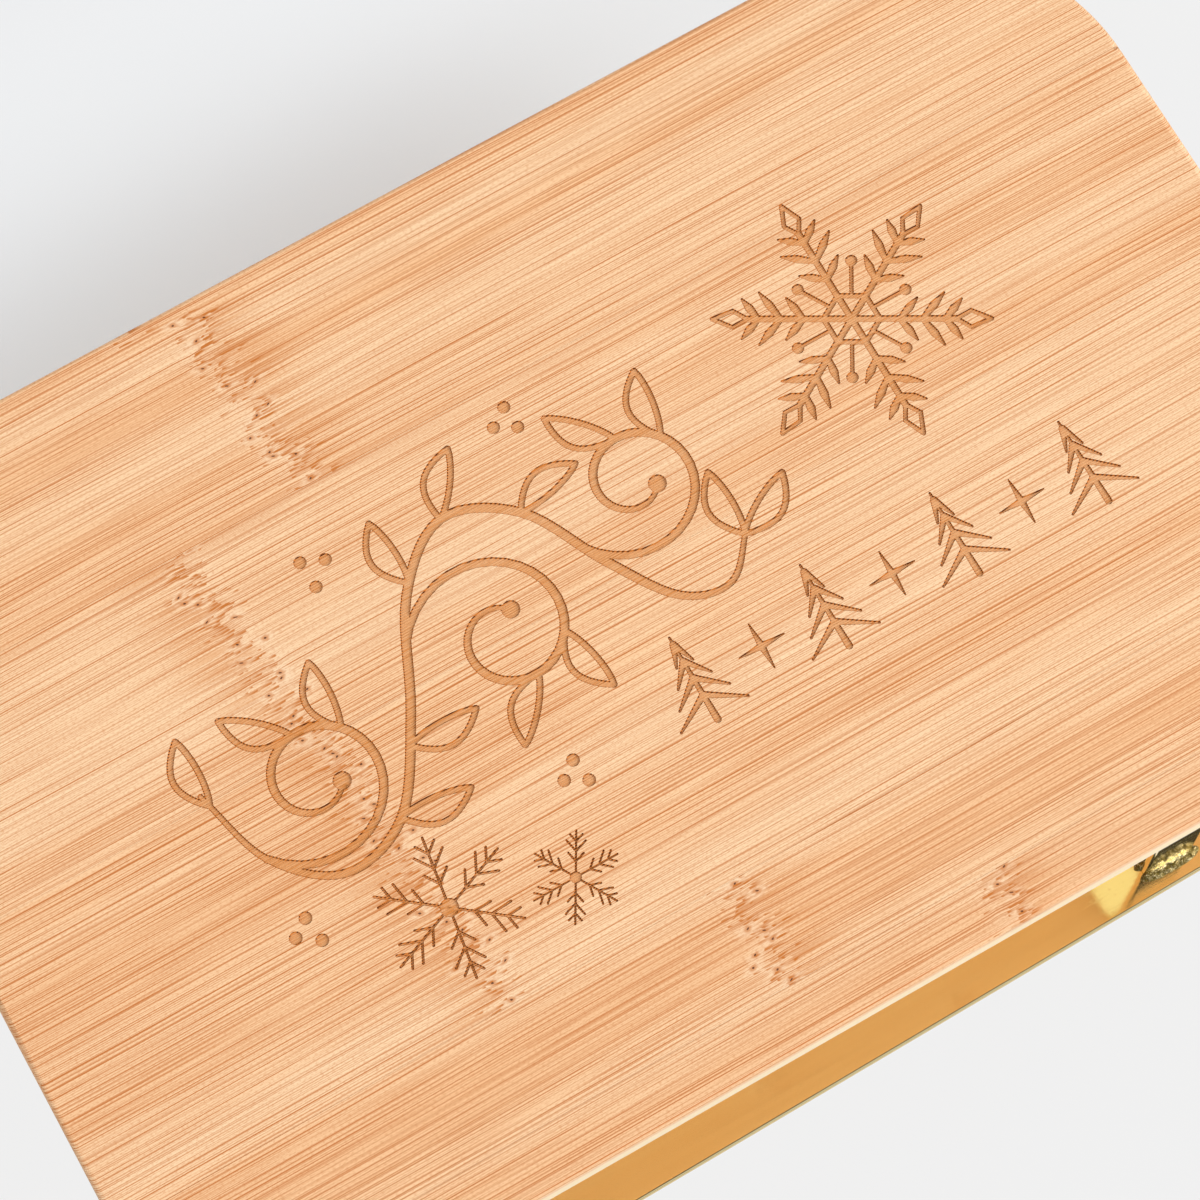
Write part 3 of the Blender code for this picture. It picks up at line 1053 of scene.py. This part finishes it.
def runnerRoute(low, high, pivotX):
    # middle line of the strip, side view: flat, up round the curl and into the scroll
    half = strip["thickness"] / 2
    curlRadius = high.z / 2
    angle = math.radians(strip["toeIn"])
    tail = (low.x - pivotX) / math.cos(angle)
    start = (high.x - pivotX) / math.cos(angle) - curlRadius
    curl = arc((start, curlRadius, 0), curlRadius - half, -90, 180, strip["curlSteps"])
    inner = arc((start, high.z - strip["scrollRadius"], 0), strip["scrollRadius"] - half,
                90, strip["scrollTurn"], strip["scrollSteps"])
    return evenSteps(Vector((tail, half, 0)), curl[0]) + curl + inner[1:]


def buildRunner(name, side):
    low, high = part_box(name)
    pivotX = sum(corner.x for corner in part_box("front_cross_strap")) / 2
    outer = edgeAtPivot(low, high, pivotX, side)
    stand = Matrix(((1, 0, 0, 0), (0, 0, -1, 0), (0, 1, 0, 0), (0, 0, 0, 1)))
    turn = Matrix.Rotation(math.radians(-side * strip["toeIn"]), 4, "Z")
    move = Matrix.Translation((pivotX, side * outer, 0))
    shift = Matrix.Translation((0, -side * strip["breadth"] / 2, 0))
    route = runnerRoute(low, high, pivotX)
    piece = bentStrip("curled_" + name, route, move @ turn @ shift @ stand)
    finishMetal(piece, name)


def edgeAtPivot(low, high, pivotX, side):
    # the outer edge where the front strap stands, from the widest place at the tail
    widest = high.y if side > 0 else -low.y
    return widest - (pivotX - low.x) * math.tan(math.radians(strip["toeIn"]))


def buildStrap(name):
    low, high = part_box(name)
    half = strip["thickness"] / 2
    bend = strip["bendRadius"]
    side = high.y - half
    top = high.z - half
    centreX = (low.x + high.x) / 2
    left = arc((-side + bend, top - bend, 0), bend, 180, -90, strip["bendSteps"])
    right = arc((side - bend, top - bend, 0), bend, 90, -90, strip["bendSteps"])
    leftFoot, rightFoot = Vector((-side, low.z, 0)), Vector((side, low.z, 0))
    route = evenSteps(leftFoot, left[0]) + left[:-1] + evenSteps(left[-1], right[0]) + right
    route += evenSteps(right[-1], rightFoot)[1:] + [rightFoot]
    stand = Matrix(((0, 0, 1, centreX), (1, 0, 0, 0), (0, 1, 0, 0), (0, 0, 0, 1)))
    piece = bentStrip("bent_" + name, route, stand)
    for place in screwPlaces.values():
        if abs(place.x - centreX) < strip["breadth"] / 2:
            drillHole(piece, place, strip["holeRadius"], low.z, high.z + board["drillPast"])
    finishMetal(piece, name)


for nodeName, side in (("left_runner", -1), ("right_runner", 1)):
    buildRunner(nodeName, side)
for nodeName in ("front_cross_strap", "rear_cross_strap"):
    buildStrap(nodeName)
print("strips bent")


# Welds: a lumpy bead outside and inside each leg's foot, a little longer than the leg is wide

weld = {
    "radius": 0.00165,
    "bury": 0.00020,  # how far the bead's middle stands off the corner
    "overhang": 0.0012,  # how far it runs past the leg at each end
    "slope": 0.00175,  # the flank's reach, out and up together
    "fullness": 3.2,  # how blunt the bead's ends are
    "lip": 0.00016,  # the raised line along its upper edge
    "lipAt": 0.86,  # share of the flank's height
    "lipBreadth": 0.00010,
    "lipShare": 0.7,
    "lump": 0.00018,
    "lumpScale": 900,
    "lumpNoise": (0.7, 2.1, 4),  # roughness, step from one scale to the next, scales
    "seedStep": 0.031,  # tells the lumps of one bead from the next
    "subdivisions": 6,
}


def buildWeld(name, seed):
    low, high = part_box(name)
    look = weld
    outward = 1 if ("outer" in name) == ("right" in name) else -1
    cornerY = low.y if outward > 0 else high.y
    corner = Vector(((low.x + high.x) / 2, cornerY, low.z))
    halfLength = (high.x - low.x) / 2 + look["overhang"]
    shape = bmesh.new()
    bmesh.ops.create_icosphere(shape, subdivisions=look["subdivisions"], radius=1)
    for vert in shape.verts:
        x, y, z = vert.co
        girth = (1 - x * x) ** 0.5
        full = (1 - abs(x) ** look["fullness"]) ** 0.5 / max(girth, 0.02)
        out = y * full * look["radius"] + look["bury"]
        up = z * full * look["radius"] + look["bury"]
        spot = Vector((x * halfLength + seed * look["seedStep"], out, up)) * look["lumpScale"]
        push = noise.fractal(spot, *look["lumpNoise"]) * look["lump"]
        limit = look["slope"] * min(1, full * girth)
        over = out + up - limit
        if over > 0:
            out -= over / 2
            up -= over / 2
            rise = (up - limit * look["lipAt"]) / look["lipBreadth"]
            lip = math.exp(-rise ** 2) * look["lip"] * look["lipShare"]
            out += push + lip
            up += push + lip
        vert.co = corner + Vector((x * halfLength, out * outward, up))
    shadeSmooth(shape)
    if outward < 0:
        bmesh.ops.reverse_faces(shape, faces=shape.faces)
    bead = makeObject("lumpy_" + name, shape, finishes["weld"])
    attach(bead, "root")
    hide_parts(name)


weldNames = sorted(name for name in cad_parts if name.endswith("_weld"))
for seed, nodeName in enumerate(weldNames):
    buildWeld(nodeName, seed + 1)
print("weld beads laid:", len(weldNames))


# Screws: pan heads with a cross recess, under the cross straps

screw = {
    "headRadius": 0.0038,
    "headHeight": 0.0022,
    "headRound": 0.0013,
    "shankRadius": 0.00175,
    "point": 0.0022,
    "pointBlunt": (0.35, 0.15),  # shares of the shank's radius and of the point's length
    "recessReach": 0.0020,
    "recessWidth": 0.00085,
    "recessDepth": 0.0012,
    "recessTaper": 0.45,
    "recessTurn": 20,
    "headSteps": 8,
    "sides": 48,
    "mergeReach": 0.000005,
    "sharpAngle": 35,
}


def screwProfile(low, high):
    # half of the screw cut lengthwise, from the point at the top to the middle of the head
    look = screw
    seat = low.z + look["headHeight"]
    corner = (look["headRadius"] - look["headRound"], low.z + look["headRound"], 0)
    rounded = arc(corner, look["headRound"], 0, -90, look["headSteps"])
    bluntRadius, bluntLength = look["pointBlunt"]
    places = [(0, high.z),
              (look["shankRadius"] * bluntRadius, high.z - look["point"] * bluntLength),
              (look["shankRadius"], high.z - look["point"]),
              (look["shankRadius"], seat), (look["headRadius"], seat)]
    return places + [(place.x, place.y) for place in rounded] + [(0, low.z)]


def buildScrew(name):
    look = screw
    low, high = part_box(name)
    centre = (low + high) / 2
    shape = bmesh.new()
    line = [shape.verts.new((across, 0, up)) for across, up in screwProfile(low, high)]
    edges = [shape.edges.new(pair) for pair in zip(line, line[1:])]
    bmesh.ops.spin(shape, geom=line + edges, cent=(0, 0, 0), axis=(0, 0, 1),
                   angle=math.radians(360), steps=look["sides"], use_merge=True)
    bmesh.ops.remove_doubles(shape, verts=shape.verts, dist=look["mergeReach"])
    faceOutwards(shape)
    bmesh.ops.translate(shape, vec=(centre.x, centre.y, 0), verts=shape.verts)
    piece = makeObject("cross_recess_" + name, shape, finishes["zinc"])
    for turn in (0, 90):
        corner = Vector((look["recessReach"], look["recessWidth"] / 2, look["recessDepth"]))
        slot = boxShape(-corner, corner)
        for vert in slot.verts:
            vert.co.x *= look["recessTaper"] if vert.co.z > 0 else 1
        bmesh.ops.rotate(slot, verts=slot.verts,
                         matrix=Matrix.Rotation(math.radians(turn + look["recessTurn"]), 3, "Z"))
        bmesh.ops.translate(slot, vec=(centre.x, centre.y, low.z), verts=slot.verts)
        cutter = makeObject("recess_cutter", slot, finishes["zinc"])
        combine(piece, cutter, "DIFFERENCE")
        discard(cutter)
    piece.data.shade_smooth()
    piece.data.set_sharp_from_angle(angle=math.radians(look["sharpAngle"]))
    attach(piece, "root")
    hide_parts(name)


for nodeName in screwNames:
    buildScrew(nodeName)
print("screws made:", len(screwNames))


# Studio: floor, light and camera

studio = {
    "floorColour": (0.905, 0.935, 0.965, 1),
    "floorRoughness": 0.9,
    "floorSize": 6,
    "paper": (1, 1, 1, 1),
    "paperLevel": 0.871,
    "paperLevelPaintedShade": 0.816,  # behind the board: painted shade
    # the paper seen in reflections, brighter than seen directly: painted light in the metal's
    # reflections
    "paperLevelPaintedReflection": 1.0,
    # how much of the paper's glow shows: in plain light, and in the shadow behind the board
    "paperShareNear": 0.96,
    "paperShareFar": 0.15,
    "shadowFrom": (-0.03, 0.0),  # metres beyond the board's far side
    "shadowTo": (0.18, 0.045),
    "shadowEnd": (0.0, 0.12),  # along the board, where the shadow thins out
    "shadowEndShare": 0.90,
    "paintedShadeFrom": (-0.01, 0.06),  # metres beyond it, where the painted shade's dimmer level takes over
    "airLow": 0.05,  # the studio's dark ceiling and horizon
    "airBright": 0.66,  # the bright band between them
    "airBand": ((0.15, 0.34), (0.93, 0.80)),  # where the band starts and ends
    # place, size and watts of each lamp, all aimed at the board
    "lamps": {
        "key_lamp": ((2.13, -1.55, 1.89), 1.95, 85),
        "fill_lamp": ((-0.70, 0.50, 1.50), 1.2, 7),
    },
    "aim": (0.0, 0.0, 0.03),
    "lens": 113.415,
    "sensor": 36,
    "nearest": 0.01,
    "cameraAlong": 0.29141,  # board widths from the rear end
    "cameraAcross": -0.49207,  # board widths from the left long side
    "cameraAbove": 3.68553,  # board widths above the top
    "cameraTurn": (16.24857, 1.73481, -29.5287),
}


def addFloor():
    # pale paper: for the camera and for reflections it glows a little, and still takes the shadow;
    # behind the board its glow is dimmer, a painted shade, and in reflections it glows brighter, a
    # painted reflection
    shape = bmesh.new()
    bmesh.ops.create_grid(shape, x_segments=1, y_segments=1, size=studio["floorSize"] / 2)
    material, place = newMaterial("studio_floor")
    shader = material.node_tree.nodes["Principled BSDF"]
    shader.inputs["Base Color"].default_value = studio["floorColour"]
    shader.inputs["Roughness"].default_value = studio["floorRoughness"]
    beyond = place.axis(1) - rightY
    shaded = beyond.ease(*studio["shadowFrom"]) * beyond.ease(*studio["shadowTo"])
    shaded = shaded * (1 - place.axis(0).ease(*studio["shadowEnd"]) * studio["shadowEndShare"])
    share = shaded * (studio["paperShareFar"] - studio["paperShareNear"])
    share = share + studio["paperShareNear"]
    direct, glossy, through = [place.node("ShaderNodeLightPath", {}, {}, "Is " + ray + " Ray")
                               for ray in ("Camera", "Glossy", "Transmission")]
    seen = direct.maths("MAXIMUM", direct, direct.maths("MAXIMUM", glossy, through))
    near, far, paintedReflectionGlow = [
        place.node("ShaderNodeEmission", {}, {"Color": studio["paper"], "Strength": studio[level]})
        for level in ("paperLevel", "paperLevelPaintedShade", "paperLevelPaintedReflection")]
    # behind the board the glow is dimmer: painted shade
    away = beyond.ease(*studio["paintedShadeFrom"])
    glow = place.node("ShaderNodeMixShader", {}, {0: away, 1: near, 2: far})
    # in reflections the paper glows brighter: painted reflection
    glow = place.node("ShaderNodeMixShader", {}, {0: glossy, 1: glow, 2: paintedReflectionGlow})
    surface = Flow(place.tree, shader.outputs["BSDF"])
    mixed = place.node("ShaderNodeMixShader", {}, {0: seen * share, 1: surface, 2: glow})
    connect(mixed, place.tree.nodes["Material Output"].inputs["Surface"])
    floor = makeObject("studio_floor", shape, material)


def addLamp(name, place, size, watts):
    lamp = bpy.data.lights.new(name, "AREA")
    lamp.shape = "SQUARE"
    lamp.size = size
    lamp.energy = watts
    holder = addObject(name, lamp)
    holder.location = place
    aim = Vector(studio["aim"]) - Vector(place)
    holder.rotation_euler = aim.to_track_quat("-Z", "Y").to_euler()


def addWorld():
    # air that is bright at middle heights and dark overhead and along the horizon
    world = bpy.data.worlds.new("studio_air")
    world.use_nodes = True
    tree = world.node_tree
    places = Flow(tree, tree.nodes.new("ShaderNodeTexCoord").outputs["Generated"])
    height = places.axis(2)
    start, end = studio["airBand"]
    band = height.ease(*start) * height.ease(*end)
    dark, bright = [places.node("ShaderNodeBackground", {}, {0: (1, 1, 1, 1), 1: studio[level]})
                    for level in ("airLow", "airBright")]
    mixed = places.node("ShaderNodeMixShader", {}, {0: band, 1: dark, 2: bright})
    connect(mixed, tree.nodes["World Output"].inputs["Surface"])
    bpy.context.scene.world = world


def addCamera():
    lens = bpy.data.cameras.new("photo_camera")
    lens.sensor_width = studio["sensor"]
    lens.lens = studio["lens"]
    lens.clip_start = studio["nearest"]
    camera = addObject("photo_camera", lens)
    place = onBoard(studio["cameraAlong"], studio["cameraAcross"])
    camera.location = place + Vector((0, 0, studio["cameraAbove"] * width))
    camera.rotation_euler = [math.radians(turn) for turn in studio["cameraTurn"]]
    bpy.context.scene.camera = camera


addFloor()
for lampName, (lampPlace, lampSize, watts) in studio["lamps"].items():
    addLamp(lampName, lampPlace, lampSize, watts)
addWorld()
addCamera()
bpy.context.scene.view_settings.view_transform = "Standard"
print("studio ready")
